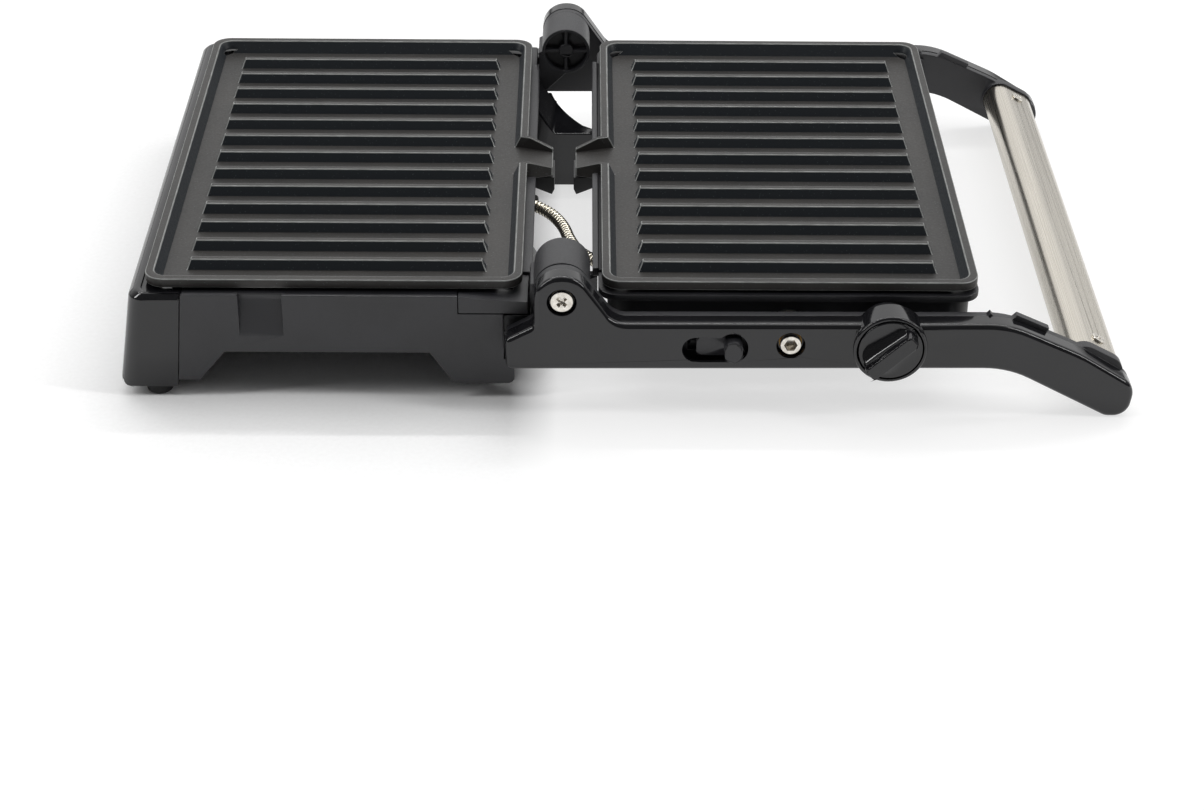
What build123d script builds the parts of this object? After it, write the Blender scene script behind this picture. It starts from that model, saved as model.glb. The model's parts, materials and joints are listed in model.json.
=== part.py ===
from build123d import *
import os
from math import cos, radians, sin, tan

# Panini press lying fully open. Millimetres, +Z up, standing on Z = 0.
# Sizes below are local: X from the hinge axis (+ towards the handle),
# Y from the mid-plane (the knob's side is negative), Z from the plates' rim.

# overall
base_reach = 185.0          # hinge axis to the front trim's lower edge
arm_reach = 238.0           # hinge axis to the arms' far end
rim_z = 53.0                # rim of the open plates above the table
base_half = 127.5           # half the base's width
arm_inner = base_half + 1.0     # inner face of the arms
arm_outer = arm_inner + 12.3    # outer face of the arms
arm_split = arm_inner + 3.9     # where arm shell and arm cover meet
knob_front = arm_outer + 10.7   # knob's grip from the mid-plane
wall = 2.4                  # moulded walls
fit_gap = 0.3               # clearance between bodies that move

hinge_x = (base_reach - arm_reach) / 2
mid_y = (knob_front - arm_outer) / 2

# plates
plate_near = 16.5           # hinge axis to a plate's near edge
plate_length = 156.0
plate_half = base_half - 5.8
plate_corner = 8.0
rim_width = 3.5
rim_thick = 4.0
pan_depth = 5.5
plate_depth = 9.0
plate_inset = 5.0           # plate body inside its rim
rib_pitch = 16.8
rib_margin = 20.0
rib_count = 1 + int(2 * (plate_half - rib_margin) / rib_pitch)
rib_width = 6.0
rib_height = 4.2
rib_length = 125.2
rib_flank = 22.0
plate_far = plate_near + plate_length
plate_mid = plate_near + plate_length / 2
fixing_y = plate_half - 10.2
plate_fixings = [(x, y) for x in (plate_near + 14.5, plate_far - 14.5) for y in (-fixing_y, fixing_y)]
post_y = plate_half - 31.7
plate_posts = [(x, y) for x in (plate_near + 25, plate_far - 25) for y in (-post_y, post_y)]
plate_post_r = 4.0
screw_bore_r = 1.6
screw_r = 1.5
spout_root = 21.2
spout_tip = 5.1
spout_root_half = 13.5
spout_tip_half = 8.5
spout_wall = 2.0
spout_drop = 4.0

# hinge
hinge_z = 0.5
knuckle_r = 11.6
knuckle_inner = base_half - 21.5
gap_half = knuckle_inner - 2.0    # half the width of the hinge gap
hinge_pin_r = 3.0
hinge_bush_r = 4.5
running_fit = 0.05
screw_head_r = 4.65

# base
side_top = -4.4
deck_top = -5.5
deck_bottom = -8.0
side_low = -31.4
leg_low = -46.0
trim_low = -48.5
seam_top = 156.8
seam_low = 160.3
trim_top = 178.6
trim_corner = 7.0
cover_step = 43.0           # start of the hinge cover
hinge_side = 24.1           # rear edge of the base's sides
latch_span = (-134.8, -113.8)
wall_face = 13.5            # base's wall facing the hinge gap
heel = 19.7                 # rear edge of the base's legs, under the arms' tails
heel_top = -34.0
foot_r = 5.5
trim_foot_y = base_half - 6.5
leg_foot_y = base_half - 23.5
foot_places = [(-169.4, -trim_foot_y), (-169.4, trim_foot_y), (-35, -leg_foot_y), (-35, leg_foot_y)]
cover_half = base_half - 9.5
cover_fixings = [(x, y) for x in (-133, -63) for y in (6 - cover_half, cover_half - 6)]
leg_outer = knuckle_inner + 8.0     # outer side of the rear legs
gland_x = -36.0             # mains lead's gland in the far side
gland_z = -38.0

# lid
lid_half = base_half - 4.0
lid_skin_half = base_half - 6.7
bezel_top = -5.3
bezel_low = -8.3
lid_low = -28.0
lid_near = 19.0
lid_far = 170.0
lamp_x = lid_far - 26
lamp_y = 14.0

# arms
pivot_x = 93.9
pivot_z = -19.1
knob_x = 134.5
knob_r = 13.2
knob_ring_r = 15.3
knob_face = arm_outer + 3.5
knob_boss_r = 11.5
boss_inner = arm_inner - 4.2
knob_angle = 43.0           # grip's slant at rest
shaft_r = 2.5
shaft_end = arm_outer + 2.2
pivot_r = 3.5
pivot_head_r = 4.25
pivot_recess_r = 5.9
slot_x = (49.4, 76.4)
slot_z = (-27.0, -15.6)
edge_round = 2.3
arm_screw_x = (40, 113, 165)

# handle
handle_x = 221.2
handle_z = -35.2
handle_tilt = -28.0
handle_long = 24.0
handle_thick = 15.0
handle_wall = 1.2
tube_end = arm_inner - 0.5
handle_fix_y = tube_end - 10        # screws through the tube from the mid-plane

# inside
element_r = 3.2
element_half = post_y - 28.0
element_z = -12.4
tray_low = -19.2
tray_wall = 0.8

# wiring conduit
conduit_r = 2.75
conduit_route = [
    (-19, -27, -12),
    (-8, -33, -13),
    (0, -46, -14),
    (3, -62, -14),
    (9, -77, -13),
    (20, -88, -12),
]

mid_plane = Plane.XZ.offset(-mid_y)
os.makedirs("parts", exist_ok=True)


def level(z):
    """Level plane at a height from the plates' rim."""
    return Plane(origin=(hinge_x, mid_y, rim_z + z), x_dir=(1, 0, 0), z_dir=(0, 0, 1))


def side(y):
    """Plane facing the knob's side, drawn in X and Z."""
    return Plane(origin=(hinge_x, mid_y + y, rim_z), x_dir=(1, 0, 0), z_dir=(0, -1, 0))


def across(x):
    """Upright plane facing the handle, drawn in Y and Z."""
    return Plane(origin=(hinge_x + x, mid_y, rim_z), x_dir=(0, 1, 0), z_dir=(1, 0, 0))


def slab(x, y, z, mode=Mode.ADD, corner=0):
    """Block between the pairs x, y and z, with upright corners rounded."""
    with BuildSketch(level(z[0])) as outline:
        with Locations(((x[0] + x[1]) / 2, (y[0] + y[1]) / 2)):
            if corner:
                RectangleRounded(x[1] - x[0], y[1] - y[0], corner)
            else:
                Rectangle(x[1] - x[0], y[1] - y[0])
    extrude(outline.sketch, amount=z[1] - z[0], mode=mode)


def rod(x, z, y, radius, mode=Mode.ADD):
    """Round bar along Y between the pair y."""
    with BuildSketch(side(y[1])) as disc:
        with Locations((x, z)):
            Circle(radius)
    extrude(disc.sketch, amount=y[1] - y[0], mode=mode)


def post(x, y, z, radius, mode=Mode.ADD):
    """Upright round bar between the pair z."""
    with BuildSketch(level(z[0])) as disc:
        with Locations((x, y)):
            Circle(radius)
    extrude(disc.sketch, amount=z[1] - z[0], mode=mode)


def prism(points, y, mode=Mode.ADD):
    """Side outline in X and Z carried along Y between the pair y."""
    with BuildSketch(side(y[1])) as outline:
        Polygon(*points, align=None)
    extrude(outline.sketch, amount=y[1] - y[0], mode=mode)


def cross_recess(x, y, z, reach, half_width):
    """Upright cross-shaped recess in a screw head."""
    slab((x - reach, x + reach), (y - half_width, y + half_width), z, Mode.SUBTRACT)
    slab((x - half_width, x + half_width), (y - reach, y + reach), z, Mode.SUBTRACT)


def save(piece, name):
    piece.part.label = name
    export_step(piece.part, "parts/" + name + ".step")


def rear_copy():
    """Turns a piece of the knob's side into that of the far side."""
    mirror(about=mid_plane, mode=Mode.REPLACE)


def plate():
    """Grill plate of the lid; the base's is the same plate the other way round."""
    with BuildPart() as piece:
        near, far = plate_near, plate_far
        slab((near, far), (-plate_half, plate_half), (-rim_thick, 0), corner=plate_corner)
        inner = plate_half - plate_inset
        slab((near + plate_inset, far - plate_inset), (-inner, inner), (-plate_depth, -rim_thick),
             corner=plate_corner)
        spout(-plate_depth + 1, 0, spout_wall)
        with BuildSketch(level(0)) as mouth:
            with Locations((plate_mid, 0)):
                RectangleRounded(plate_length - 2 * rim_width, 2 * (plate_half - rim_width),
                                 plate_corner - rim_width + 1)
        extrude(mouth.sketch, amount=-pan_depth, taper=26, mode=Mode.SUBTRACT)
        spout(-pan_depth, 1, 0, Mode.SUBTRACT)
        with BuildSketch(side(plate_half)) as slope:
            Polygon((plate_near - 1, 0.01), (spout_tip - 1, 0.01), (spout_tip - 1, -spout_drop),
                    (spout_tip, -spout_drop), align=None)
        extrude(slope.sketch, amount=2 * plate_half, mode=Mode.SUBTRACT)
        with BuildSketch(level(-pan_depth)) as ribs:
            with Locations((plate_mid, 0)):
                with GridLocations(0, rib_pitch, 1, rib_count):
                    Rectangle(rib_length, rib_width)
        extrude(ribs.sketch, amount=rib_height, taper=rib_flank)
        for x, y in plate_posts:
            post(x, y, (tray_low, -plate_depth), plate_post_r)
            post(x, y, (tray_low, -plate_depth), screw_bore_r, Mode.SUBTRACT)
        for x, y in plate_fixings:
            post(x, y, (-plate_depth - 1, -plate_depth + 2.5), screw_bore_r, Mode.SUBTRACT)
    return piece


def spout(low, high, grow, mode=Mode.ADD):
    """Grease channel that narrows from the pan to its tip."""
    root = spout_root_half + grow
    tip = spout_tip_half + grow
    with BuildSketch(level(low)) as outline:
        Polygon((spout_root + 3, -root), (spout_root + 3, root), (spout_root, root),
                (spout_tip, tip), (spout_tip, -tip), (spout_root, -root), align=None)
    extrude(outline.sketch, amount=high - low, mode=mode)


def turned_over(piece):
    """The same piece on the base's side of the hinge."""
    with BuildPart() as other:
        add(piece.part)
        mirror(about=Plane.YZ.offset(hinge_x), mode=Mode.REPLACE)
    return other


def drip_lip():
    """Trough under a plate's grease channel."""
    with BuildPart() as piece:
        prism([(20.5, -9.1), (4.3, -9.6), (4.3, -15.6), (5.5, -18.2), (13, -15), (20.5, -15)], (-9, 9))
        prism([(19, -8.4), (5.8, -8.4), (5.8, -13.5), (19, -13)], (-7.4, 7.4), Mode.SUBTRACT)
    return piece


def element():
    """Tubular heater bent under the plate, with its cold ends."""
    start, end, half = plate_near + 20, plate_far - 32, element_half
    with BuildPart() as piece:
        with BuildLine(level(element_z)) as path:
            FilletPolyline((start, -half), (end, -half), (end, half), (start, half), radius=26)
        with BuildSketch(Plane(path.line @ 0, z_dir=path.line % 0)) as ring:
            Circle(element_r)
        sweep(ring.sketch, path=path.line)
        for y in (-half, half):
            with BuildSketch(across(start - 9)) as pin:
                with Locations((y, element_z)):
                    Circle(1.5)
            extrude(pin.sketch, amount=9)
    return piece


def reflector():
    """Sheet tray that throws the heater's heat up at the plate."""
    near, far = plate_near + 14, plate_far - 20
    half = plate_half - 17
    with BuildPart() as piece:
        slab((near, far), (-half, half), (tray_low - tray_wall, -10), corner=6)
        slab((near + tray_wall, far - tray_wall), (-half + tray_wall, half - tray_wall),
             (tray_low, -9), Mode.SUBTRACT, corner=5)
        slab((near - 1, near + 2), (-70, 70), (-17, -9), Mode.SUBTRACT)
        for x, y in plate_posts:
            post(x, y, (tray_low - 2, tray_low + 1), 2.1, Mode.SUBTRACT)
    return piece


def plate_screws():
    top = tray_low - tray_wall
    with BuildPart() as piece:
        for x, y in plate_posts:
            post(x, y, (top - 2.2, top), 3.4)
            post(x, y, (top, tray_low + 7), screw_r)
            cross_recess(x, y, (top - 2.3, top - 1.2), 2, 0.5)
    return piece


def thermostat():
    x = plate_mid
    with BuildPart() as piece:
        post(x, 0, (-17, -plate_depth - 0.1), 8)
        slab((x - 13, x + 13), (-3, 3), (-17.6, -16.6))
    return piece


side_outline = [
    (-seam_top, side_top),
    (-seam_low, leg_low + 1),
    (-151.2, leg_low + 1),
    (-140.1, side_low),
    (-55.1, side_low),
    (-45.4, leg_low),
    (-heel, leg_low),
    (-heel, heel_top),
    (-hinge_side, heel_top),
    (-hinge_side, -12.4),
    (-cover_step, -12.4),
    (-cover_step, side_top),
]


def plate_well():
    """Room for the plate: a shallow recess and the opening under it."""
    slab((-plate_far - 1.2, -wall_face + 5), (-base_half + wall, base_half - wall),
         (deck_top, 1), Mode.SUBTRACT, corner=6)
    inner = plate_half - plate_inset + 1
    slab((-plate_far + plate_inset - 1, -plate_near - plate_inset + 1), (-inner, inner),
         (-20, 0), Mode.SUBTRACT, corner=plate_corner)


def base_housing():
    """Moulded base with legs, plate well, finger recesses and the wall at the hinge gap."""
    with BuildPart() as piece:
        prism(side_outline, (-base_half, base_half))
        fillet(piece.edges().filter_by(Axis.Y).group_by(Axis.Z)[0], 3)
        slab((-hinge_side - 1, -wall_face), (-gap_half, gap_half), (side_low, deck_top))
        slab((-wall_face - 1, -12.6), (4 - gap_half, gap_half - 4), (-7.5, -3.6))
        prism([(-155.5, deck_bottom), (-157.6, leg_low + 4), (-153, leg_low + 4),
               (-142.3, side_low + wall), (-53.8, side_low + wall), (-44, leg_low + wall),
               (-heel - wall, leg_low + wall), (-heel - wall, heel_top - wall),
               (-hinge_side - wall, heel_top - wall), (-hinge_side - wall, -12.4 - wall),
               (-cover_step - 4, -12.4 - wall), (-cover_step - 4, deck_bottom)],
              (-base_half + wall, base_half - wall), Mode.SUBTRACT)
        slab((-cover_step - 1, -wall_face - wall), (4 - gap_half, gap_half - 4),
             (side_low + wall, deck_bottom), Mode.SUBTRACT)
        plate_well()
        slab((-138, -58), (-cover_half, cover_half), (side_low - 1, side_low + wall + 1), Mode.SUBTRACT)
        for s in (-1, 1):
            slab(latch_span, sorted((s * (base_half - 7), s * (base_half - 1))), (-25.5, deck_bottom + 0.5))
            latch_notch(s)
        slab((-40, -12), (-spout_root_half - 2.6, spout_root_half + 2.6), (-10, 0), Mode.SUBTRACT)
        for s in (-1, 1):
            slab((-38.2, -20), sorted((s * (gap_half + 0.8), s * (base_half - 2.3))),
                 (-24.9, -14.3), Mode.SUBTRACT)
        slab((-21, -wall_face + 1), (-9.3, 9.3), (-15.3, -8), Mode.SUBTRACT)
        rod(gland_x, gland_z, (base_half - 5, base_half + 1), 5.2, Mode.SUBTRACT)
        with BuildSketch(conduit_plane(0)) as bore:
            Circle(4.6)
        extrude(bore.sketch, amount=12, both=True, mode=Mode.SUBTRACT)
        for x, y in foot_places[2:]:
            post(x, y, (leg_low - 1, leg_low + wall + 1), 1.8, Mode.SUBTRACT)
    return piece


def latch_notch(s):
    """Slanted finger recess in the base's side, deepest at its upper end."""
    outer = s * (base_half + 1)
    face = s * base_half
    inner = s * (base_half - 4)
    with BuildSketch(across(latch_span[0] + 1.6)) as cut:
        Polygon((outer, deck_top + 2), (outer, -23.5), (face, -23.5), (inner, -8.4), (inner, deck_top + 2),
                align=None)
    extrude(cut.sketch, amount=latch_span[1] - latch_span[0] - 3.2, mode=Mode.SUBTRACT)


def rubber_feet():
    with BuildPart() as piece:
        for x, y in foot_places:
            seat = trim_low if x < -100 else leg_low
            post(x, y, (-rim_z, seat), foot_r)
            post(x, y, (seat, seat + wall + 1.5), 1.7)
        chamfer(piece.edges().group_by(Axis.Z)[0], 0.8)
    return piece


def front_trim():
    """Glossy wrap-round front of the base."""
    profile = [(-seam_top - 0.3, side_top), (-trim_top, side_top), (-base_reach, -45.6),
               (-base_reach + 1.6, trim_low), (-seam_low - 0.5, trim_low)]
    with BuildPart() as piece:
        prism(profile, (-base_half, base_half))
        upright = piece.edges().filter_by(lambda e: abs(e.tangent_at(0.5).Z) > 0.9)
        fillet(upright.group_by(Axis.X)[0], trim_corner)
        top_rim = piece.faces().sort_by(Axis.Z)[-1].edges()
        chamfer(top_rim.filter_by(lambda e: e.center().X < hinge_x - seam_top - 1), 2.2)
        prism([(-155, deck_bottom), (-trim_top + 1.6, deck_bottom), (-base_reach + wall + 1, -44),
               (-base_reach + wall + 1.6, trim_low + wall), (-158, trim_low + wall)],
              (-base_half + wall, base_half - wall), Mode.SUBTRACT)
        plate_well()
        slab((-178, -158), (17.5 - base_half, base_half - 17.5),
             (trim_low - 1, trim_low + wall + 1), Mode.SUBTRACT)
        for x, y in foot_places[:2]:
            post(x, y, (trim_low - 1, trim_low + wall + 1), 1.8, Mode.SUBTRACT)
    return piece


def bottom_cover():
    """Vented panel that closes the base from below."""
    with BuildPart() as piece:
        slab((-137.7, -58.3), (fit_gap - cover_half, cover_half - fit_gap), (side_low, side_low + wall))
        for x in (-128, -113, -98, -83, -68):
            slab((x - 1.5, x + 1.5), (-60, 60), (side_low - 1, side_low + wall + 1), Mode.SUBTRACT)
        for x, y in cover_fixings:
            post(x, y, (side_low + wall, tray_low - 3.4), 3)
            post(x, y, (side_low - 1, tray_low - 4), screw_bore_r, Mode.SUBTRACT)
    return piece


def bottom_cover_screws():
    with BuildPart() as piece:
        for x, y in cover_fixings:
            post(x, y, (side_low - 1.8, side_low), 3)
            post(x, y, (side_low, tray_low - 4.5), screw_r)
            cross_recess(x, y, (side_low - 2, side_low - 1), 1.8, 0.4)
    return piece


def hinge_bracket():
    """Knuckle of the knob's side with its spoked inner end and its foot in the base."""
    face = -arm_inner + fit_gap
    with BuildPart() as piece:
        rod(0, hinge_z, (face, -knuckle_inner), knuckle_r)
        prism([(-38, -14.6), (-38, -24.6), (-14, -24.6), (0, -11), (-11, 1), (-13.2, 0), (-13.2, -14.6)],
              (-base_half + wall + 0.3, -knuckle_inner))
        prism([(-38, -14.6), (-38, -24.6), (-14, -24.6), (-13.2, -14.6)],
              (3.5 - base_half, -gap_half - 1))
        rod(0, hinge_z, (-knuckle_inner - 4.5, -knuckle_inner + 1), knuckle_r - 1.5, Mode.SUBTRACT)
        rod(0, hinge_z, (-knuckle_inner - 5, -knuckle_inner - 0.6), 3.6)
        for half_x, half_z in ((10.4, 0.8), (0.8, 10.4)):
            with BuildSketch(side(-knuckle_inner - 0.8)) as spoke:
                with Locations((0, hinge_z)):
                    Rectangle(2 * half_x, 2 * half_z)
            extrude(spoke.sketch, amount=4)
        rod(0, hinge_z, (face - 1, -knuckle_inner - 6), hinge_pin_r, Mode.SUBTRACT)
    return piece


def hinge_cover():
    """Cap over the bracket, from the base's side round to the gap."""
    with BuildPart() as piece:
        prism([(-cover_step + 0.2, -12.2), (-cover_step + 0.2, side_top - 0.3), (-14, -6.8), (-14, -12.2)],
              (-base_half, -gap_half - fit_gap))
        prism([(-cover_step + 2.6, -12.3), (-cover_step + 2.6, -8), (-16.4, -9), (-16.4, -12.3)],
              (-base_half + wall, -knuckle_inner - 0.5), Mode.SUBTRACT)
        inner = plate_half - plate_inset + 1
        slab((-60, -plate_near - plate_inset + 1), (-inner, 0), (-13, 0), Mode.SUBTRACT)
        slab((-60, -plate_near + 1.2), (-plate_half - 1.2, 0), (deck_top - 0.2, 0), Mode.SUBTRACT)
        slab((-24, -13), (1.5 - base_half, -gap_half - 1), (-12.4, -11.6), Mode.SUBTRACT)
    return piece


def rear_leg():
    """Hollow stay under the gap, scooped on its outer side."""
    out = -leg_outer
    tip = out + 46.4
    with BuildPart() as piece:
        with BuildSketch(level(-rim_z + 0.4)) as plan:
            with BuildLine():
                Polyline((-7, out), (-wall_face, out), (-wall_face, tip), (15, tip), (15, out + 42),
                         (8.5, out + 37))
                ThreePointArc((8.5, out + 37), (2.1, out + 26.5), (-7, out))
            make_face()
        extrude(plan.sketch, amount=rim_z - 0.4 - 24.8)
        prism([(-wall_face, -12.7), (-13, -12.7), (-7, -22.4), (-4.5, -25), (-wall_face, -25)],
              (out + 10.4, tip))
        slab((-wall_face + 2.5, 12), (out + 40, out + 44), (-54, -28), Mode.SUBTRACT)
        slab((-wall_face + 2.5, -1), (out + 28, out + 42), (-54, -28), Mode.SUBTRACT)
        with BuildSketch(across(-20)) as rise:
            Polygon((out + 28, -54), (out - 2, -54), (out - 2, -38), align=None)
        extrude(rise.sketch, amount=40, mode=Mode.SUBTRACT)
    return piece


def hinge_screws():
    """Shoulder screws with a domed cross-recess head, one each side."""
    with BuildPart() as piece:
        for s in (-1, 1):
            span = sorted((s * (knuckle_inner + 6.2), s * (arm_outer - 2.8)))
            rod(0, hinge_z, span, hinge_pin_r)
            head = sorted((s * (arm_outer - 2.8), s * (arm_outer - 0.6)))
            rod(0, hinge_z, head, screw_head_r)
            slot = sorted((s * (arm_outer - 2.5), s * (arm_outer - 0.2)))
            with BuildSketch(side(slot[1])) as cross:
                with Locations(Location((0, hinge_z, 0), (0, 0, 45))):
                    Rectangle(4.8, 1.3)
                    Rectangle(1.3, 4.8)
            extrude(cross.sketch, amount=slot[1] - slot[0], mode=Mode.SUBTRACT)
    return piece


def hinge_bushes():
    with BuildPart() as piece:
        for s in (-1, 1):
            span = sorted((s * arm_inner, s * (arm_outer - 3.4)))
            rod(0, hinge_z, span, hinge_bush_r)
            rod(0, hinge_z, span, hinge_pin_r + running_fit, Mode.SUBTRACT)
    return piece


def arm_outline():
    """Closed side outline of an arm: dome, slope, bar, dropped end and tail."""
    points = [(-11.5, 12), (6.5, 12), (21.6, -9.9), (183, -9.3), (214, -23.4), (arm_reach, -38.3),
              (236, -rim_z), (226.5, -rim_z), (184, -30.3), (-23, -31.6), (-23.4, -17.6), (-11.6, -11)]
    radii = [11.3, 11.3, 10, 40, 60, 9, 7, 6, 40, 3.2, 3.2, 3]
    FilletPolyline(*points, radius=radii, close=True)


def arm_blank(y, grow=0, mode=Mode.ADD):
    with BuildSketch(side(y[1])) as outline:
        with BuildLine():
            arm_outline()
        make_face()
        if grow:
            offset(amount=grow, mode=Mode.REPLACE)
    extrude(outline.sketch, amount=y[1] - y[0], mode=mode)


def oval(y, grow, mode=Mode.ADD):
    """The handle's tilted oval section carried along Y."""
    with BuildSketch(side(y[1])) as section:
        with Locations(Location((handle_x, handle_z, 0), (0, 0, handle_tilt))):
            RectangleRounded(handle_long + 2 * grow, handle_thick + 2 * grow,
                             (handle_thick + 2 * grow) / 2 - 0.8)
    extrude(section.sketch, amount=y[1] - y[0], mode=mode)


def arm_shell(knob_side):
    with BuildPart() as piece:
        arm_blank((-arm_outer, -arm_split))
        fillet(piece.faces().sort_by(Axis.Y)[0].edges(), edge_round)
        if knob_side:
            rod(knob_x, pivot_z, (-knob_face, -arm_split), knob_ring_r)
            fillet(piece.faces().sort_by(Axis.Y)[0].edges(), 1.1)
        arm_blank((-arm_outer + wall, -arm_split + 1), -wall, Mode.SUBTRACT)
        for x, z, radius in ((0, hinge_z, 7.6), (pivot_x, pivot_z, 7.6)):
            rod(x, z, (-arm_outer + 1, -arm_split), radius)
        rod(0, hinge_z, (-arm_outer - 1, -arm_outer + 3), screw_head_r + 1.4, Mode.SUBTRACT)
        rod(0, hinge_z, (-arm_outer + 1.8, -arm_split + 1), hinge_bush_r, Mode.SUBTRACT)
        rod(pivot_x, pivot_z, (-arm_outer - 1, -arm_outer + 3.6), pivot_recess_r, Mode.SUBTRACT)
        rod(pivot_x, pivot_z, (-arm_outer + 1.8, -arm_split + 1), pivot_r + 1.2, Mode.SUBTRACT)
        if knob_side:
            rod(knob_x, pivot_z, (-knob_face - 1, -arm_outer + 1.6), knob_r + 0.5, Mode.SUBTRACT)
            rod(knob_x, pivot_z, (-knob_face, -arm_split + 1), 5.2, Mode.SUBTRACT)
            slider_slot((-arm_outer - 1, -arm_split + 1))
    return piece


def slider_slot(y):
    """Guide slot, a little taller at the post's end."""
    with BuildSketch(side(y[1])) as slot:
        with Locations(((slot_x[0] + slot_x[1]) / 2, (slot_z[0] + slot_z[1]) / 2)):
            SlotOverall(slot_x[1] - slot_x[0], slot_z[1] - slot_z[0])
        with Locations((slot_x[1] - 6.4, (slot_z[0] + slot_z[1]) / 2 + 0.8)):
            Circle(6.4)
    extrude(slot.sketch, amount=y[1] - y[0], mode=Mode.SUBTRACT)


def arm_cover(knob_side):
    with BuildPart() as piece:
        arm_blank((-arm_split, -arm_inner), -0.25)
        slab((26, 178), (-arm_inner, -arm_inner + 2.5), (-29.6, -12))
        fillet(piece.faces().sort_by(Axis.Y)[-1].edges(), 1.0)
        oval((-arm_split + 1, -tube_end + 1.6), 0.9)
        oval((-tube_end - 0.2, -tube_end + 28), 0, Mode.SUBTRACT)
        oval((-arm_split + 1, -tube_end + 18), -handle_wall - 0.1)
        prism([(174, -10.4), (176, -8), (178, -10.4)], (-arm_split, -arm_inner - 0.6))
        prism([(184, -12), (187, -9), (201, -15.4), (199, -19)], (-arm_split, -arm_inner - 0.6))
        if knob_side:
            rod(knob_x, pivot_z, (-arm_split, -boss_inner), knob_boss_r)
            rod(knob_x, pivot_z, (-arm_split - 1, -boss_inner - 2), 5.2, Mode.SUBTRACT)
            slab((52, 74), (-arm_split - 1, -arm_inner - 0.9), (-26, -16.6), Mode.SUBTRACT)
            slab((54, 72), (-arm_inner - 1, -arm_inner + 3.5), (-23, -19.4), Mode.SUBTRACT)
        rod(0, hinge_z, (-arm_split - 1, -arm_inner + 8.5), hinge_bush_r, Mode.SUBTRACT)
        rod(pivot_x, pivot_z, (-arm_split - 1, -arm_inner + 8.5), pivot_r + 1.2, Mode.SUBTRACT)
        handle_screw_cut(-handle_fix_y, 1.3)
        for x in arm_screw_x:
            rod(x, pivot_z, (-arm_split - 1, -arm_inner + 3.5), screw_bore_r, Mode.SUBTRACT)
            rod(x, pivot_z, (-arm_inner + 0.9, -arm_inner + 3.5), 3.4, Mode.SUBTRACT)
    return piece


def handle_plane(y):
    """Plane on the handle's upper flat side at one screw."""
    lift = handle_thick / 2
    tilt = radians(-handle_tilt)
    up = Vector(sin(tilt), 0, cos(tilt))
    centre = Vector(hinge_x + handle_x, mid_y + y, rim_z + handle_z) + up * lift
    return Plane(origin=centre, x_dir=(cos(tilt), 0, -sin(tilt)), z_dir=up)


def handle_screw_cut(y, radius):
    with BuildSketch(handle_plane(y)) as disc:
        Circle(radius)
    extrude(disc.sketch, amount=-handle_thick * 0.6, mode=Mode.SUBTRACT)


def handle_tube():
    with BuildPart() as piece:
        oval((-tube_end, tube_end), 0)
        oval((-tube_end - 1, tube_end + 1), -handle_wall, Mode.SUBTRACT)
        for y in (-handle_fix_y, handle_fix_y):
            handle_screw_cut(y, 1.7)
    return piece


def handle_screws():
    with BuildPart() as piece:
        for y in (-handle_fix_y, handle_fix_y):
            with BuildSketch(handle_plane(y)) as head:
                Circle(3)
            extrude(head.sketch, amount=0.9)
            with BuildSketch(handle_plane(y)) as shank:
                Circle(1.25)
            extrude(shank.sketch, amount=-7)
            with BuildSketch(handle_plane(y).offset(0.5)) as cross:
                Rectangle(3, 0.7)
                Rectangle(0.7, 3)
            extrude(cross.sketch, amount=1, mode=Mode.SUBTRACT)
    return piece


def pivot_screws():
    """Hex-socket screws that carry the lid between the arms."""
    with BuildPart() as piece:
        for s in (-1, 1):
            seat = arm_outer - 3.6
            rod(pivot_x, pivot_z, sorted((s * (lid_skin_half - 11.8), s * seat)), pivot_r)
            rod(pivot_x, pivot_z, sorted((s * seat, s * (arm_outer - 0.2))), pivot_head_r)
            ends = sorted((s * (seat - 0.8), s * (arm_outer + 0.2)))
            with BuildSketch(side(ends[1])) as socket:
                with Locations((pivot_x, pivot_z)):
                    RegularPolygon(2.7, 6)
            extrude(socket.sketch, amount=ends[1] - ends[0], mode=Mode.SUBTRACT)
    return piece


def pivot_bushes():
    with BuildPart() as piece:
        for s in (-1, 1):
            span = sorted((s * (arm_inner - 2.3), s * (arm_outer - 4)))
            rod(pivot_x, pivot_z, span, pivot_r + 1.2)
            rod(pivot_x, pivot_z, span, pivot_r, Mode.SUBTRACT)
    return piece


def arm_cover_screws():
    with BuildPart() as piece:
        for s in (-1, 1):
            for x in arm_screw_x:
                rod(x, pivot_z, sorted((s * (arm_inner - 2.2), s * (arm_inner - 0.9))), 3)
                rod(x, pivot_z, sorted((s * (arm_inner - 0.9), s * (arm_inner + 3))), 1.4)
                prism([(x - 1.8, pivot_z - 0.4), (x + 1.8, pivot_z - 0.4), (x + 1.8, pivot_z + 0.4),
                       (x - 1.8, pivot_z + 0.4)], sorted((s * (arm_inner - 2.5), s * (arm_inner - 1.5))),
                      Mode.SUBTRACT)
    return piece


def lid_bezel():
    with BuildPart() as piece:
        slab((15, plate_far + 0.5), (-lid_half, lid_half), (bezel_low, bezel_top), corner=plate_corner)
        slab((12.6, 17), (-gap_half, gap_half), (-7.6, -3.6))
        inner = plate_half - plate_inset + 1
        slab((plate_near + plate_inset - 1, plate_far - plate_inset + 1), (-inner, inner),
             (bezel_low - 1, 0), Mode.SUBTRACT, corner=plate_corner)
        slab((plate_near - 1.2, 40), (-plate_half - 1, plate_half + 1), (-4.4, -3), Mode.SUBTRACT)
        slab((11, 40), (-spout_root_half - 2.6, spout_root_half + 2.6), (-12, 0), Mode.SUBTRACT)
    return piece


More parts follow.
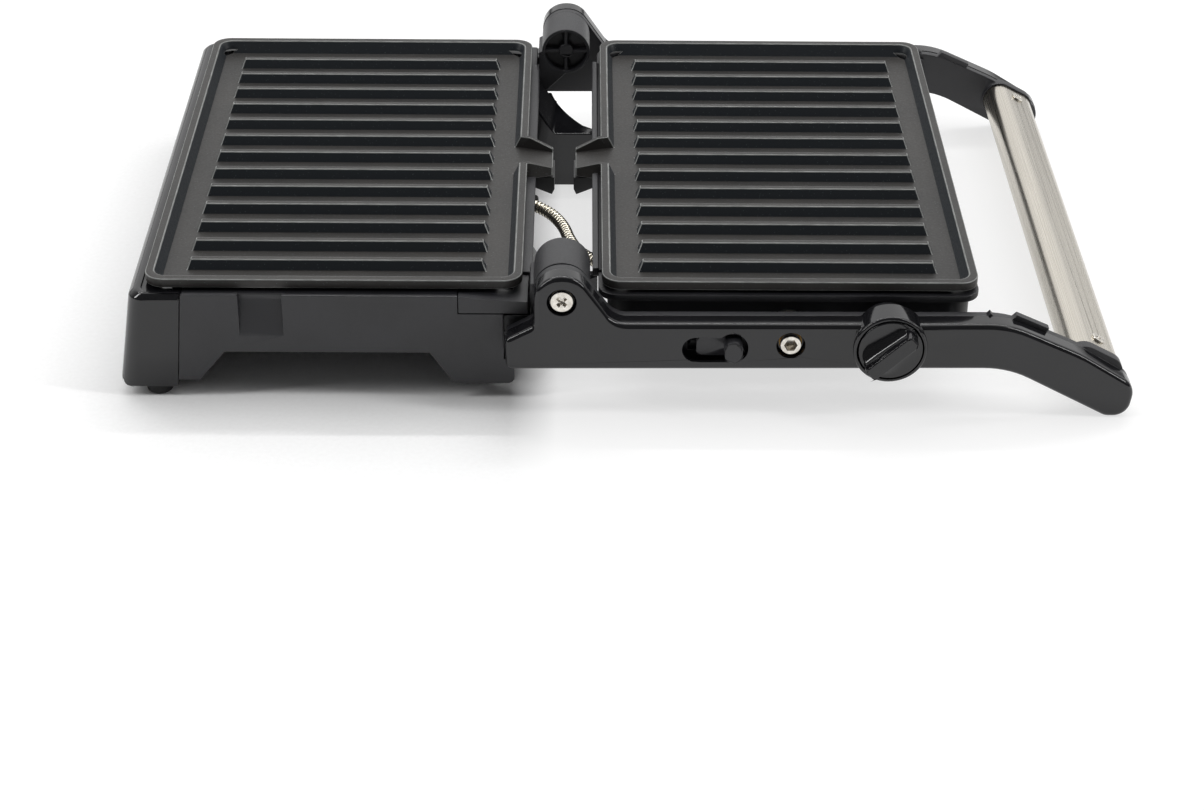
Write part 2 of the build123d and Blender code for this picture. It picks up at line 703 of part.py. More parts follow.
def lid_cover():
    with BuildPart() as piece:
        slab((lid_near, lid_far), (-lid_skin_half, lid_skin_half), (lid_low, bezel_low), corner=10)
        fillet(piece.faces().sort_by(Axis.Z)[0].edges(), 6)
        slab((lid_near + wall, lid_far - wall), (-lid_skin_half + wall, lid_skin_half - wall),
             (lid_low + wall, bezel_low + 1), Mode.SUBTRACT, corner=7.6)
        slab((lid_near - 1, lid_near + 5), (-97, -75), (-25, bezel_low + 1), Mode.SUBTRACT)
        slab((lid_near - 1, lid_near + 5), (-10, 10), (-17, bezel_low + 1), Mode.SUBTRACT)
        for s in (-1, 1):
            rod(pivot_x, pivot_z, sorted((s * (lid_skin_half - 4.8), s * (lid_skin_half + 2.2))),
                6.1, Mode.SUBTRACT)
        for y in (-lamp_y, lamp_y):
            post(lamp_x, y, (lid_low - 1, lid_low + 4), 3, Mode.SUBTRACT)
        for x, y in plate_fixings:
            post(x, y, (lid_low + wall, -plate_depth - 0.1), 4)
            post(x, y, (lid_low - 1, bezel_low + 1), screw_bore_r, Mode.SUBTRACT)
            post(x, y, (lid_low - 1, lid_low + 2), 3.5, Mode.SUBTRACT)
    return piece


def lid_pivot_brackets():
    """Steel cheeks inside the lid that turn on the pivot screws."""
    with BuildPart() as piece:
        for s in (-1, 1):
            root = lid_skin_half - 9.8
            rod(pivot_x, pivot_z, sorted((s * root, s * (lid_skin_half + 1.6))), 6)
            cheek = sorted((s * root, s * (root + 2.5)))
            slab((pivot_x - 16, pivot_x + 16), cheek, (lid_low + wall + 0.1, -14))
            rod(pivot_x, pivot_z, sorted((s * (root - 6), s * (root + 14))), pivot_r + running_fit,
                Mode.SUBTRACT)
    return piece


def indicator_lamps():
    with BuildPart() as piece:
        for y in (-lamp_y, lamp_y):
            post(lamp_x, y, (lid_low - 0.4, lid_low + 3), 2.9)
            post(lamp_x, y, (lid_low + 3, lid_low + 6.5), 3.8)
    return piece


def lid_screws():
    with BuildPart() as piece:
        for x, y in plate_fixings:
            post(x, y, (lid_low + 0.2, lid_low + 2), 3.2)
            post(x, y, (lid_low + 2, -plate_depth + 2), screw_r)
            cross_recess(x, y, (lid_low, lid_low + 1.2), 2, 0.4)
    return piece


def lock_slider():
    """Sliding lock: a pad with a D-shaped post, guided in the arm's slot."""
    with BuildPart() as piece:
        with BuildSketch(side(-arm_split - 2.6)) as pad:
            with Locations((64.5, -21.3)):
                RectangleRounded(18.6, 9.4, 2.6)
        extrude(pad.sketch, amount=2.4)
        with BuildSketch(side(-arm_split - 5)) as thumb:
            with Locations((70.4, -20.4)):
                RectangleRounded(7.4, 9.2, 3)
        extrude(thumb.sketch, amount=7.4)
        with BuildSketch(side(-arm_inner - 1.1)) as stem:
            with Locations((64.5, -21.2)):
                Rectangle(8, 3)
        extrude(stem.sketch, amount=6)
        slab((59, 70), (-arm_inner - 1.1, -arm_inner + 3.3), (-22.7, -19.7))
    return piece


def knob_cap():
    """Disc with a raised straight grip, slanted at rest."""
    with BuildPart() as piece:
        rod(knob_x, pivot_z, (-knob_face - 0.2, -arm_outer + 1.2), knob_r)
        fillet(piece.faces().sort_by(Axis.Y)[0].edges(), 0.6)
        with BuildSketch(side(-knob_face)) as grip:
            with Locations(Location((knob_x, pivot_z, 0), (0, 0, knob_angle))):
                RectangleRounded(2 * knob_r - 1.4, 7.2, 2)
        extrude(grip.sketch, amount=knob_front - knob_face, taper=4)
        rod(knob_x, pivot_z, (-shaft_end, -arm_outer + 1.8), shaft_r, Mode.SUBTRACT)
    return piece


def knob_shaft():
    with BuildPart() as piece:
        rod(knob_x, pivot_z, (-shaft_end, -arm_inner + 2), shaft_r)
        rod(knob_x, pivot_z, (-arm_split - 1.2, -arm_split + 0.6), 4.8)
    return piece


def knob_cam():
    """Detent cam on the shaft inside the arm's boss."""
    with BuildPart() as piece:
        rod(knob_x, pivot_z, (-arm_split + 0.8, -arm_inner + 0.3), 4.6)
        rod(knob_x, pivot_z, (-arm_split + 0.4, -arm_inner + 0.5), shaft_r, Mode.SUBTRACT)
    return piece


def cord_gland():
    with BuildPart() as piece:
        rod(gland_x, gland_z, (base_half - wall - 3, base_half + 2), 5)
        rod(gland_x, gland_z, (base_half, base_half + 1.6), 7)
        rod(gland_x, gland_z, (base_half - 10, base_half + 4), 3.4, Mode.SUBTRACT)
    return piece


def terminal_block():
    with BuildPart() as piece:
        middle = base_half - 46.5
        slab((-42.5, -28), (middle - 11, middle + 11), (leg_low + wall, leg_low + wall + 9))
        for x in (-40, -35.2, -30.4):
            post(x, middle, (leg_low + wall + 4, leg_low + wall + 10), 1.6, Mode.SUBTRACT)
    return piece


def thermal_fuse():
    with BuildPart() as piece:
        rod(-plate_mid, -16.8, (26, 42), 2.2)
        slab((-plate_mid - 3.2, -plate_mid + 3.2), (31, 37), (tray_low, -17))
    return piece


def route_point(index):
    x, y, z = conduit_route[index]
    return Vector(hinge_x + x, mid_y + y, rim_z + z)


def conduit_plane(index):
    start = route_point(index)
    return Plane(origin=start, z_dir=route_point(index + 1) - start)


def arc_radii():
    """Radius at each inner point: 0.45 of the shorter run over the tangent of half the turn."""
    radii = []
    for i in range(1, len(conduit_route) - 1):
        before = route_point(i) - route_point(i - 1)
        after = route_point(i + 1) - route_point(i)
        turn = before.get_angle(after)
        radii.append(0.45 * min(before.length, after.length) / tan(radians(turn / 2)))
    return radii


def wiring_conduit():
    radii = arc_radii()
    print("conduit radii", [round(r, 1) for r in radii])
    with BuildPart() as piece:
        with BuildLine() as path:
            FilletPolyline(*[route_point(i) for i in range(len(conduit_route))], radius=radii)
        with BuildSketch(conduit_plane(0)) as ring:
            Circle(conduit_r)
        sweep(ring.sketch, path=path.line)
    length = path.wire().length
    section = ring.sketch.area
    print("conduit length", round(length, 1), "volume ratio", piece.part.volume / (section * length))
    return piece


def conduit_fitting():
    with BuildPart() as piece:
        with BuildSketch(conduit_plane(0).offset(2)) as ring:
            Circle(4.5)
        extrude(ring.sketch, amount=4.5)
        with BuildSketch(conduit_plane(0).offset(1)) as bore:
            Circle(conduit_r + 0.05)
        extrude(bore.sketch, amount=9, mode=Mode.SUBTRACT)
    return piece


def mirrored(piece):
    """The far side's twin of a piece of the knob's side."""
    with BuildPart() as twin:
        add(piece.part)
        rear_copy()
    return twin


upper = plate()
save(upper, "upper_plate")
save(turned_over(upper), "lower_plate")
for maker, name in ((drip_lip, "drip_lip"), (element, "element"), (reflector, "reflector"),
                    (plate_screws, "plate_screws"), (thermostat, "thermostat")):
    half_piece = maker()
    save(half_piece, "upper_" + name)
    save(turned_over(half_piece), "lower_" + name)
for maker, name in ((hinge_bracket, "hinge_bracket"), (hinge_cover, "hinge_cover"),
                    (rear_leg, "rear_leg")):
    front_piece = maker()
    save(front_piece, name + "_front")
    save(mirrored(front_piece), name + "_back")
save(arm_shell(True), "arm_shell_front")
save(mirrored(arm_shell(False)), "arm_shell_back")
save(arm_cover(True), "arm_cover_front")
save(mirrored(arm_cover(False)), "arm_cover_back")
for maker in (base_housing, front_trim, bottom_cover, bottom_cover_screws, rubber_feet, hinge_screws,
              hinge_bushes, cord_gland, terminal_block, thermal_fuse, wiring_conduit, conduit_fitting,
              handle_tube, handle_screws, pivot_screws, pivot_bushes, arm_cover_screws, lid_bezel,
              lid_cover, lid_pivot_brackets, indicator_lamps, lid_screws, lock_slider, knob_cap,
              knob_shaft, knob_cam):
    save(maker(), maker.__name__)
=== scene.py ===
import json
import math

import bmesh
import bpy
from mathutils import Matrix, Vector


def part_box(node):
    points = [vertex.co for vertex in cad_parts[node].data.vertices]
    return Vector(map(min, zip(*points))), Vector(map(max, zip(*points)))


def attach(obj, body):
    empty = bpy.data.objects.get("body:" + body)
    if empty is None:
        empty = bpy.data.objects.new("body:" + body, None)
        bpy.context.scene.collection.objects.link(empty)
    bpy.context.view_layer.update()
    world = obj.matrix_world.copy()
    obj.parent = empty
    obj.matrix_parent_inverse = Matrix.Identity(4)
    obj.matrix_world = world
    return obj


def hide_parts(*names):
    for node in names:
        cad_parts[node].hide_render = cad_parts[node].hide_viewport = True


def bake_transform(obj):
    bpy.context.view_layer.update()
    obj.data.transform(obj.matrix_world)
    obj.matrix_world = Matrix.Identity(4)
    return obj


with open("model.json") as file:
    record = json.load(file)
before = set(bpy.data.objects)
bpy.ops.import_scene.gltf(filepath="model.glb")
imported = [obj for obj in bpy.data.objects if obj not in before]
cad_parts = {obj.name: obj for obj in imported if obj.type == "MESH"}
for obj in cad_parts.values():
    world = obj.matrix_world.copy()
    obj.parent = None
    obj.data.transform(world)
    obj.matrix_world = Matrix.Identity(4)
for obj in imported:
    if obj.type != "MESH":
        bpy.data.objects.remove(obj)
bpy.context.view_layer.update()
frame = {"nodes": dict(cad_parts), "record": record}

MM = 0.001
record = frame["record"]
joints = {joint["name"]: joint for joint in record["behaviour"]["joints"]}
plate_low, plate_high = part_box("upper_plate")
hinge_x = joints["arm_hinge"]["pos_m"][0]
mid_y = (plate_low[1] + plate_high[1]) / 2
rim_z = plate_high[2]
BODY_OF = {node: body for body, nodes in record["behaviour"]["bodies"].items() for node in nodes}


def at(x, y, z):
    """Place in metres of a point in mm from the hinge axis, the mid-plane and the plates' rim."""
    return Vector((hinge_x + x * MM, mid_y + y * MM, rim_z + z * MM))


# ---- colours and materials -------------------------------------------------

ROUNDED = "rounded"         # faces that the edge rounding adds, where the nonstick paints a highlight
FLANK = "flank"             # sloping faces that look partly upwards, which get a painted shade
FLANK_SLOPE = (0.2, 0.9)    # upward part of a flank's normal


def colour(code, alpha=1.0):
    """Linear colour from an sRGB hex code."""
    parts = [int(code[i:i + 2], 16) / 255 for i in (1, 3, 5)]
    linear = [c / 12.92 if c <= 0.04045 else ((c + 0.055) / 1.055) ** 2.4 for c in parts]
    return (*linear, alpha)


def add_node(tree, kind, settings=None, **links):
    """One shader or geometry node, its settings (attribute or socket value) and its links."""
    node = tree.nodes.new(kind)
    for key, value in (settings or {}).items():
        if isinstance(key, str) and hasattr(node, key):
            setattr(node, key, value)
        else:
            node.inputs[key].default_value = value
    for key, source in links.items():
        socket = int(key[1:]) if key[0] == "i" and key[1:].isdigit() else key.replace("_", " ")
        tree.links.new(source, node.inputs[socket])
    return node


def new_material(name, settings):
    """Material with a Principled surface; returns it, its tree, the shader and object coordinates."""
    material = bpy.data.materials.new(name)
    material.use_nodes = True
    tree = material.node_tree
    shader = tree.nodes["Principled BSDF"]
    for key, value in settings.items():
        shader.inputs[key].default_value = value
    place = tree.nodes.new("ShaderNodeTexCoord").outputs["Object"]
    return material, tree, shader, place


def ramp(tree, source, low, high, from_low=0.3, from_high=0.7):
    return add_node(tree, "ShaderNodeMapRange",
                    {"From Min": from_low, "From Max": from_high, "To Min": low, "To Max": high},
                    Value=source).outputs[0]


def mix(tree, factor, first, second):
    node = add_node(tree, "ShaderNodeMix", {"data_type": "RGBA"})
    node.inputs[6].default_value = first
    node.inputs[7].default_value = second
    tree.links.new(factor, node.inputs[0])
    return node.outputs[2]


def over(tree, factor, first, second):
    """Colour that goes from a linked first colour to a fixed second one."""
    node = add_node(tree, "ShaderNodeMix", {"data_type": "RGBA"})
    node.inputs[7].default_value = second
    tree.links.new(factor, node.inputs[0])
    tree.links.new(first, node.inputs[6])
    return node.outputs[2]


def face_mark(tree, name):
    """Value, per face, that refine() has stored under the name."""
    return add_node(tree, "ShaderNodeAttribute", {"attribute_name": name}).outputs["Fac"]


def noise(tree, place, size_mm, detail=3.0, stretch=(1, 1, 1)):
    """Noise whose blotches are about size_mm across."""
    mapped = add_node(tree, "ShaderNodeMapping", {"Scale": stretch}, Vector=place).outputs[0]
    return add_node(tree, "ShaderNodeTexNoise", {"Scale": 1 / (size_mm * MM), "Detail": detail},
                    Vector=mapped).outputs["Fac"]


def bump(tree, shader, height, distance_mm, strength=1.0):
    node = add_node(tree, "ShaderNodeBump", {"Strength": strength, "Distance": distance_mm * MM},
                    Height=height)
    tree.links.new(node.outputs[0], shader.inputs["Normal"])


def polished_abs():
    """Moulded ABS from a polished tool: deep black gloss with faint flow waviness and dust dulling."""
    material, tree, shader, place = new_material(
        "polished_abs", {"IOR": 1.53, "Coat Weight": 0.0})
    cloud = noise(tree, place, 35)
    tree.links.new(mix(tree, ramp(tree, cloud, 0, 1), colour("#111113"), colour("#18181b")),
                   shader.inputs["Base Color"])
    fine = noise(tree, place, 0.9, 4)
    tree.links.new(ramp(tree, fine, 0.07, 0.14), shader.inputs["Roughness"])
    bump(tree, shader, noise(tree, place, 14, 1), 0.03, 0.5)
    return material


def sparked_pbt(name="sparked_pbt", low="#1b1b1e", high="#232327", rough=0.42):
    """Glass-filled PBT from a spark-eroded tool: fine grain that scatters the light softly."""
    material, tree, shader, place = new_material(name, {"IOR": 1.55})
    cloud = noise(tree, place, 22)
    tree.links.new(mix(tree, ramp(tree, cloud, 0, 1), colour(low), colour(high)),
                   shader.inputs["Base Color"])
    grain = noise(tree, place, 0.45, 2)
    tree.links.new(ramp(tree, grain, rough - 0.06, rough + 0.08), shader.inputs["Roughness"])
    bump(tree, shader, grain, 0.05, 0.35)
    return material


def nonstick():
    """Sprayed two-coat non-stick on die-cast aluminium: orange-peel sheen with fine pale speckle."""
    material, tree, shader, place = new_material("nonstick_coating", {"IOR": 1.42})
    cloud = noise(tree, place, 40)
    base = mix(tree, ramp(tree, cloud, 0, 1), colour("#2a2928"), colour("#343230"))
    cells = add_node(tree, "ShaderNodeTexVoronoi", {"Scale": 1 / (1.6 * MM)}, Vector=place)
    speck = ramp(tree, cells.outputs["Distance"], 1, 0, 0.05, 0.16)
    # painted shade: sloping rib flanks take a darker bluish grey
    flank_shaded = over(tree, face_mark(tree, FLANK), base, colour("#23272b"))
    speckled = over(tree, speck, flank_shaded, colour("#54585a"))
    # painted highlight: rounded rib edges lighten to pale grey, broken into patches
    patches = ramp(tree, noise(tree, place, 6), 0.55, 0.95)
    edge_highlight = add_node(tree, "ShaderNodeMath", {"operation": "MULTIPLY"},
                    i0=face_mark(tree, ROUNDED), i1=patches)
    tree.links.new(over(tree, edge_highlight.outputs[0], speckled, colour("#8d8f8d")),
                   shader.inputs["Base Color"])
    peel = noise(tree, place, 1.1, 3)
    tree.links.new(ramp(tree, peel, 0.38, 0.52), shader.inputs["Roughness"])
    bump(tree, shader, peel, 0.06, 0.5)
    return material


def brushed_steel():
    """Stainless tube brushed along its length: long fine lines and a warm streaked reflection."""
    material, tree, shader, place = new_material(
        "brushed_stainless", {"Metallic": 1.0, "Anisotropic": 0.5})
    lines = noise(tree, place, 0.3, 2, (1, 0.004, 1))
    tree.links.new(mix(tree, ramp(tree, lines, 0, 1), colour("#c0bbb1"), colour("#cdc8be")),
                   shader.inputs["Base Color"])
    tree.links.new(ramp(tree, lines, 0.24, 0.31), shader.inputs["Roughness"])
    bump(tree, shader, lines, 0.003, 0.15)
    return material


def plated(name, low, high, rough):
    """Plated or rolled metal with slight cloudiness in its shine."""
    material, tree, shader, place = new_material(name, {"Metallic": 1.0})
    cloud = noise(tree, place, 1.6)
    tree.links.new(mix(tree, ramp(tree, cloud, 0, 1), colour(low), colour(high)),
                   shader.inputs["Base Color"])
    tree.links.new(ramp(tree, noise(tree, place, 0.5), rough - 0.05, rough + 0.06),
                   shader.inputs["Roughness"])
    return material


def wound_steel():
    """Spiral-wound steel strip: bright rounded turns with painted shade darkening the seams between
    them.
    """
    material, tree, shader, place = new_material("wound_steel_strip", {"Metallic": 1.0})
    edge = tree.nodes.new("ShaderNodeNewGeometry").outputs["Pointiness"]
    # painted shade: low pointiness in the concave seams turns near black, convex turns take the bright
    # steel colour
    tree.links.new(mix(tree, ramp(tree, edge, 0, 1, 0.47, 0.54), colour("#15130e"), colour("#d2ccbd")),
                   shader.inputs["Base Color"])
    tree.links.new(ramp(tree, noise(tree, place, 1.2), 0.18, 0.32), shader.inputs["Roughness"])
    return material


def moulded_rubber():
    """Moulded nitrile rubber: dull charcoal with a dusty bloom."""
    material, tree, shader, place = new_material("nitrile_rubber", {"IOR": 1.52})
    bloom = noise(tree, place, 2.5, 5)
    tree.links.new(mix(tree, ramp(tree, bloom, 0, 1), colour("#161617"), colour("#262626")),
                   shader.inputs["Base Color"])
    tree.links.new(ramp(tree, bloom, 0.7, 0.88), shader.inputs["Roughness"])
    bump(tree, shader, bloom, 0.05, 0.3)
    return material


def glazed(name, low, high, rough):
    """Glazed ceramic or tinted clear moulding with soft cloudiness."""
    material, tree, shader, place = new_material(name, {"IOR": 1.5})
    cloud = noise(tree, place, 3)
    tree.links.new(mix(tree, ramp(tree, cloud, 0, 1), colour(low), colour(high)),
                   shader.inputs["Base Color"])
    tree.links.new(ramp(tree, cloud, rough, rough + 0.1), shader.inputs["Roughness"])
    return material


finishes = {
    "gloss_black": polished_abs(),
    "satin_black": sparked_pbt(),
    "nonstick_coating": nonstick(),
    "drip_lip_black": sparked_pbt("heat_plastic", "#161617", "#202021", 0.36),
    "brushed_stainless": brushed_steel(),
    "nickel_screw": plated("nickel_plate", "#c9c4bb", "#e6e2da", 0.2),
    "zinc_screw": plated("bright_zinc", "#b4b8bb", "#d3d6d8", 0.28),
    "galvanised_sheet": plated("aluminised_sheet", "#9a9c9d", "#bfc1c2", 0.4),
    "heater_steel": plated("heat_darkened_steel", "#4a4744", "#6e6761", 0.45),
    "spiral_steel": wound_steel(),
    "sintered_bronze": plated("sintered_bronze", "#8a6a3c", "#a98a58", 0.5),
    "black_rubber": moulded_rubber(),
    "ceramic_white": glazed("glazed_ceramic", "#d9d5ca", "#e9e6de", 0.2),
    "lamp_lens": glazed("tinted_lens", "#6e120c", "#8c1d14", 0.1),
}
SLOT_OF = {part["node"]: part["material_slot"] for part in record["subparts"]}

# ---- refined pieces ----------------------------------------------------------

ROUNDING = {
    "arm_shell_front": 0.3, "arm_shell_back": 0.3, "front_trim": 0.7, "base_housing": 0.5,
    "upper_plate": 0.4, "lower_plate": 0.4, "lid_bezel": 0.5, "lid_cover": 0.4,
    "knob_cap": 0.5, "hinge_bracket_front": 0.5, "hinge_bracket_back": 0.5,
    "hinge_cover_front": 0.5, "hinge_cover_back": 0.5, "rear_leg_front": 0.7,
    "rear_leg_back": 0.7, "arm_cover_front": 0.4, "arm_cover_back": 0.4, "lock_slider": 0.5,
    "hinge_screws": 0.35, "pivot_screws": 0.35, "handle_screws": 0.2, "handle_tube": 0.25,
    "lower_drip_lip": 0.4, "upper_drip_lip": 0.4, "rubber_feet": 0.4, "cord_gland": 0.4,
    "bottom_cover": 0.3, "indicator_lamps": 0.4, "conduit_fitting": 0.3,
}


RIBBED = ("upper_plate", "lower_plate")
FLAT_FROM = 8e-6                    # square metres, above which a plate's face is flat
SHARP_FROM = math.radians(28)       # convex edges sharper than this are rounded
CREASE_FROM = math.radians(32)      # edges still sharper than this stay creased
WELD = 2e-6


def plain_mesh(piece):
    """Turns what modifiers make into the piece's own plain mesh."""
    depsgraph = bpy.context.evaluated_depsgraph_get()
    mesh = bpy.data.meshes.new_from_object(piece.evaluated_get(depsgraph))
    piece.modifiers.clear()
    piece.data = mesh


def refine(node, rounding_mm):
    """A copy of a moulded or machined piece with its edges rounded as the tool leaves them."""
    mesh = bpy.data.meshes.new(node + "_finished")
    work = bmesh.new()
    work.from_mesh(frame["nodes"][node].data)
    bmesh.ops.remove_doubles(work, verts=work.verts, dist=WELD)
    weight = work.edges.layers.float.new("bevel_weight_edge")
    for edge in work.edges:
        if edge.is_manifold and edge.calc_face_angle_signed() > SHARP_FROM:
            edge[weight] = 1.0
    work.to_mesh(mesh)
    work.free()
    piece = bpy.data.objects.new(node + "_finished", mesh)
    bpy.context.scene.collection.objects.link(piece)
    bevel = piece.modifiers.new("rounding", "BEVEL")
    bevel.width = rounding_mm * MM
    bevel.segments = 2
    bevel.limit_method = "WEIGHT"
    bevel.use_clamp_overlap = False
    finish = finishes[SLOT_OF[node]]
    mesh.materials.append(finish)
    mesh.materials.append(finish)
    bevel.material = 1
    plain_mesh(piece)
    rounded = piece.data.attributes.new(ROUNDED, "FLOAT", "FACE")
    flank = piece.data.attributes.new(FLANK, "FLOAT", "FACE")
    for face, mark, slope in zip(piece.data.polygons, rounded.data, flank.data):
        mark.value = face.material_index
        # flank faces are marked for the nonstick's painted shade
        sloping = FLANK_SLOPE[0] < face.normal.z < FLANK_SLOPE[1]
        slope.value = float(sloping and not face.material_index)
        face.material_index = 0
    piece.data.shade_smooth()
    piece.data.set_sharp_from_angle(angle=CREASE_FROM)
    if node in RIBBED:
        for face in piece.data.polygons:
            face.use_smooth = face.area < FLAT_FROM
    else:
        normals = piece.modifiers.new("normals", "WEIGHTED_NORMAL")
        normals.keep_sharp = True
        plain_mesh(piece)
    piece.data.materials.clear()
    piece.data.materials.append(finish)
    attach(piece, BODY_OF[node])
    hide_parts(node)
    return piece


for node, rounding in ROUNDING.items():
    refine(node, rounding)
for node, piece in frame["nodes"].items():
    if node not in ROUNDING:
        piece.data.materials.clear()
        piece.data.materials.append(finishes[SLOT_OF[node]])

# ---- wiring conduit ----------------------------------------------------------

CONDUIT_ROUTE = [(-19, -27, -12), (-8, -33, -13), (0, -46, -14), (3, -62, -14), (9, -77, -13),
                 (20, -88, -12)]
CONDUIT_RADIUS = 2.75 * MM
CONDUIT_PITCH = 1.9 * MM


def route_curve(name, points):
    """Smooth curve with the route's points as its control points."""
    curve = bpy.data.curves.new(name, "CURVE")
    curve.dimensions = "3D"
    curve.resolution_u = 24
    spline = curve.splines.new("NURBS")
    spline.points.add(len(points) - 1)
    for point, place in zip(spline.points, points):
        point.co = (*at(*place), 1)
    spline.order_u = 3
    spline.use_endpoint_u = True
    piece = bpy.data.objects.new(name, curve)
    bpy.context.scene.collection.objects.link(piece)
    return piece


def wound_tree(material):
    """Geometry tree: a strip's rounded turns set one after another along the route."""
    tree = bpy.data.node_groups.new("wound_strip", "GeometryNodeTree")
    face = tree.interface
    face.new_socket("Route", in_out="INPUT", socket_type="NodeSocketGeometry")
    for label in ("Radius", "Strip", "Pitch"):
        face.new_socket(label, in_out="INPUT", socket_type="NodeSocketFloat")
    face.new_socket("Geometry", in_out="OUTPUT", socket_type="NodeSocketGeometry")
    given = tree.nodes.new("NodeGroupInput").outputs
    steps = add_node(tree, "GeometryNodeResampleCurve", {"mode": "LENGTH"},
                     Curve=given["Route"], Length=given["Pitch"])
    big = add_node(tree, "GeometryNodeCurvePrimitiveCircle", {"Resolution": 28},
                   Radius=given["Radius"])
    small = add_node(tree, "GeometryNodeCurvePrimitiveCircle", {"Resolution": 8},
                     Radius=given["Strip"])
    turn = add_node(tree, "GeometryNodeCurveToMesh", None,
                    Curve=big.outputs[0], Profile_Curve=small.outputs[0])
    tangent = add_node(tree, "GeometryNodeInputTangent")
    aim = add_node(tree, "FunctionNodeAlignEulerToVector", {"axis": "Z"}, Vector=tangent.outputs[0])
    set_out = add_node(tree, "GeometryNodeInstanceOnPoints", None,
                       Points=steps.outputs[0], Instance=turn.outputs[0], Rotation=aim.outputs[0])
    real = add_node(tree, "GeometryNodeRealizeInstances", None, Geometry=set_out.outputs[0])
    smooth = add_node(tree, "GeometryNodeSetShadeSmooth", None, Geometry=real.outputs[0])
    core_ring = add_node(tree, "GeometryNodeCurvePrimitiveCircle", {"Resolution": 20},
                         Radius=given["Radius"])
    core = add_node(tree, "GeometryNodeCurveToMesh", {"Fill Caps": True},
                    Curve=given["Route"], Profile_Curve=core_ring.outputs[0])
    both = tree.nodes.new("GeometryNodeJoinGeometry")
    tree.links.new(smooth.outputs[0], both.inputs[0])
    tree.links.new(core.outputs[0], both.inputs[0])
    painted = add_node(tree, "GeometryNodeSetMaterial", {"Material": material},
                       Geometry=both.outputs[0])
    out = tree.nodes.new("NodeGroupOutput")
    tree.links.new(painted.outputs[0], out.inputs["Geometry"])
    return tree


def grown(source, name, tree, values):
    """Plain mesh that a geometry tree makes from a source object."""
    modifier = source.modifiers.new("grow", "NODES")
    modifier.node_group = tree
    for item in tree.interface.items_tree:
        if item.in_out == "INPUT" and item.name in values:
            modifier[item.identifier] = values[item.name]
    depsgraph = bpy.context.evaluated_depsgraph_get()
    mesh = bpy.data.meshes.new_from_object(source.evaluated_get(depsgraph))
    piece = bpy.data.objects.new(name, mesh)
    bpy.context.scene.collection.objects.link(piece)
    bpy.data.objects.remove(source)
    return piece


strip = CONDUIT_PITCH * 0.52        # neighbouring turns overlap a little
conduit = grown(route_curve("conduit_route", CONDUIT_ROUTE), "spiral_conduit",
                wound_tree(finishes["spiral_steel"]),
                {"Radius": CONDUIT_RADIUS - strip, "Strip": strip, "Pitch": CONDUIT_PITCH})
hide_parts("wiring_conduit")
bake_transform(conduit)

# ---- floor, light and camera ---------------------------------------------------

FLOOR_HALF = 6.0
FLOOR_GLOW = 0.65
CEILING = 0.12
COVE = 1.1


def floor_material():
    """Matt white table top whose half under the lid glows as painted light, so shadows stay pale there.
    """
    material, tree, shader, place = new_material("studio_paper", {"Roughness": 0.9})
    length = add_node(tree, "ShaderNodeSeparateXYZ", None, Vector=place).outputs["X"]
    start, end = at(-22, 0, 0).x, at(-2, 0, 0).x
    # painted light: emission rising from nothing to FLOOR_GLOW across the half under the lid
    glow = ramp(tree, length, 0, FLOOR_GLOW, start, end)
    tree.links.new(glow, shader.inputs["Emission Strength"])
    shader.inputs["Emission Color"].default_value = colour("#ffffff")
    tooth = mix(tree, ramp(tree, noise(tree, place, 2), 0, 1), colour("#fbfbfb"), colour("#ffffff"))
    # base colour darkens where the painted glow is, so the open floor stays white
    tree.links.new(over(tree, glow, tooth, colour("#404040")), shader.inputs["Base Color"])
    return material


def floor():
    """Square floor that the object stands on."""
    mesh = bpy.data.meshes.new("studio_floor")
    corners = [(x * FLOOR_HALF, y * FLOOR_HALF, 0) for x, y in ((-1, -1), (1, -1), (1, 1), (-1, 1))]
    mesh.from_pydata(corners, [], [(0, 1, 2, 3)])
    mesh.materials.append(floor_material())
    piece = bpy.data.objects.new("studio_floor", mesh)
    bpy.context.scene.collection.objects.link(piece)


def soft_light(name, place, size, power):
    """Rectangular light facing the middle of the floor."""
    light = bpy.data.lights.new(name, "AREA")
    light.shape = "RECTANGLE"
    light.size, light.size_y = size
    light.energy = power
    lamp = bpy.data.objects.new(name, light)
    lamp.location = place
    lamp.rotation_euler = (-Vector(place)).to_track_quat("-Z", "Y").to_euler()
    bpy.context.scene.collection.objects.link(lamp)


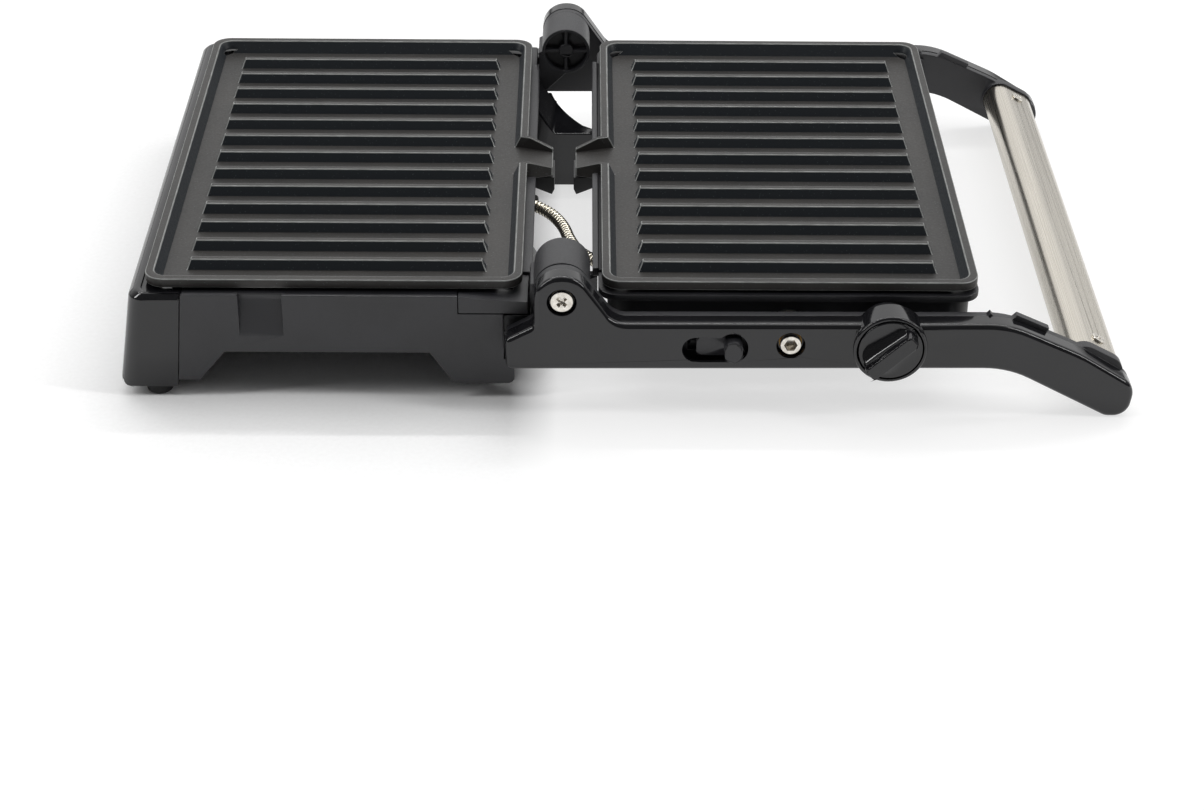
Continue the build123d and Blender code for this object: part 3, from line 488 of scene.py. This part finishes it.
def studio():
    """White cove behind, a calm dark ceiling over the camera, and narrow lights that draw the edges."""
    world = bpy.data.worlds.new("studio_white")
    world.use_nodes = True
    tree = world.node_tree
    direction = tree.nodes.new("ShaderNodeTexCoord").outputs["Generated"]
    split = add_node(tree, "ShaderNodeSeparateXYZ", None, Vector=direction).outputs
    level = add_node(tree, "ShaderNodeMapRange",
                     {"From Min": -0.1, "From Max": 0.7, "To Min": CEILING, "To Max": COVE},
                     Value=split["Y"]).outputs[0]
    skirting = ramp(tree, split["Z"], 0.1, 1, 0.03, 0.16)
    level = add_node(tree, "ShaderNodeMath", {"operation": "MULTIPLY"}, i0=level, i1=skirting).outputs[0]
    tree.nodes["Background"].inputs["Color"].default_value = (1, 1, 1, 1)
    tree.links.new(level, tree.nodes["Background"].inputs["Strength"])
    bpy.context.scene.world = world
    for side in (-1, 1):
        soft_light("side_strip", (side * 1.2, -0.35, 1.0), (0.14, 1.1), 7)
    soft_light("overhead_softbox", (0, 0.25, 1.7), (2.4, 1.1), 9)
    soft_light("edge_strip", (0, 0.75, 1.45), (1.9, 0.05), 7)


def camera():
    """Long lens from the knob's side, looking down 32 degrees."""
    pitch, yaw, roll = math.radians(32.0), math.radians(0.598), math.radians(0.581)
    ahead = Vector((math.sin(yaw) * math.cos(pitch), math.cos(yaw) * math.cos(pitch),
                    -math.sin(pitch)))
    right = Vector((math.cos(yaw), -math.sin(yaw), 0))
    up = right.cross(ahead)
    turned_right = math.cos(roll) * right + math.sin(roll) * up
    turned_up = math.cos(roll) * up - math.sin(roll) * right
    lens = bpy.data.cameras.new("product_camera")
    lens.lens, lens.sensor_width = 76.2, 36
    eye = bpy.data.objects.new("product_camera", lens)
    turn = Matrix((turned_right, turned_up, -ahead)).transposed().to_4x4()
    eye.matrix_world = Matrix.Translation(at(7.4, -1038.4, 512.8)) @ turn
    bpy.context.scene.collection.objects.link(eye)
    bpy.context.scene.camera = eye


floor()
studio()
camera()
bpy.context.scene.view_settings.view_transform = "Standard"
